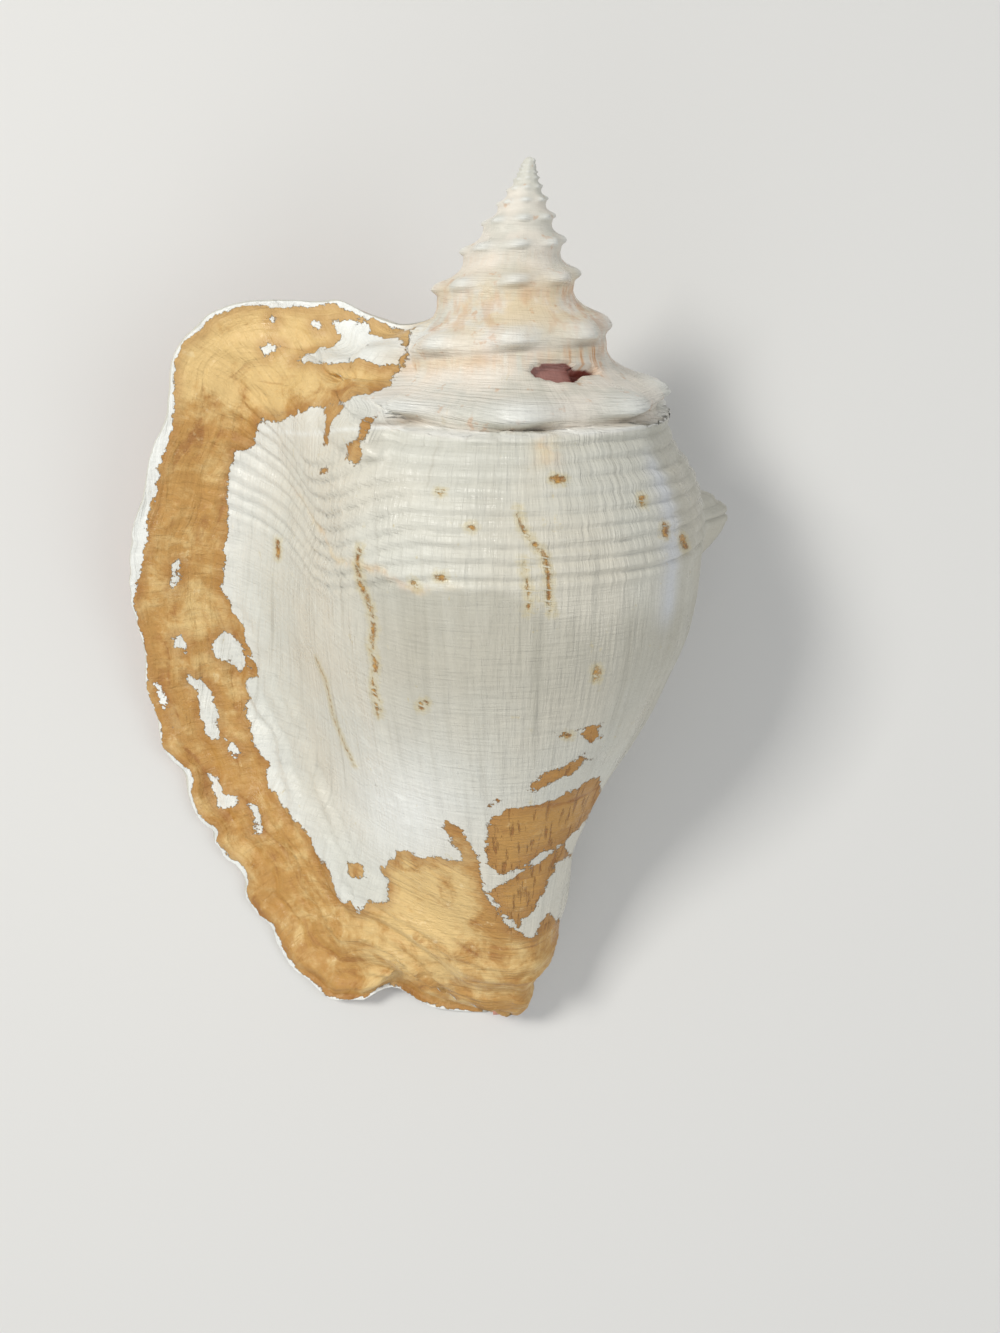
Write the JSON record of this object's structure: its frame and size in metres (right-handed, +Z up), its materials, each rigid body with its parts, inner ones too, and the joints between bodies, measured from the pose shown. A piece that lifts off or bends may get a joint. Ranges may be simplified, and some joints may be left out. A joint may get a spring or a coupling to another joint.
{
  "type": "conch shell",
  "caption": "Large conch shell lying on its opening, with a stepped pointed spire, a wide flared lip with a wavy rim, and blunt spines round its shoulder.",
  "frame": {"origin": "centre of the footprint of the shell's bounding box, on the surface that the shell lies on", "axes": "+Y along the shell from the front tip to the spire, +X to the right seen from above with the flared lip at -X, +Z up"},
  "size_m": [0.1704, 0.2286, 0.1055],
  "materials": {
    "shell": "satin, chalky white shell with amber skin left on it"
  },
  "bodies": {
    "root": {"conch_shell": "shell"}
  },
  "joints": []
}
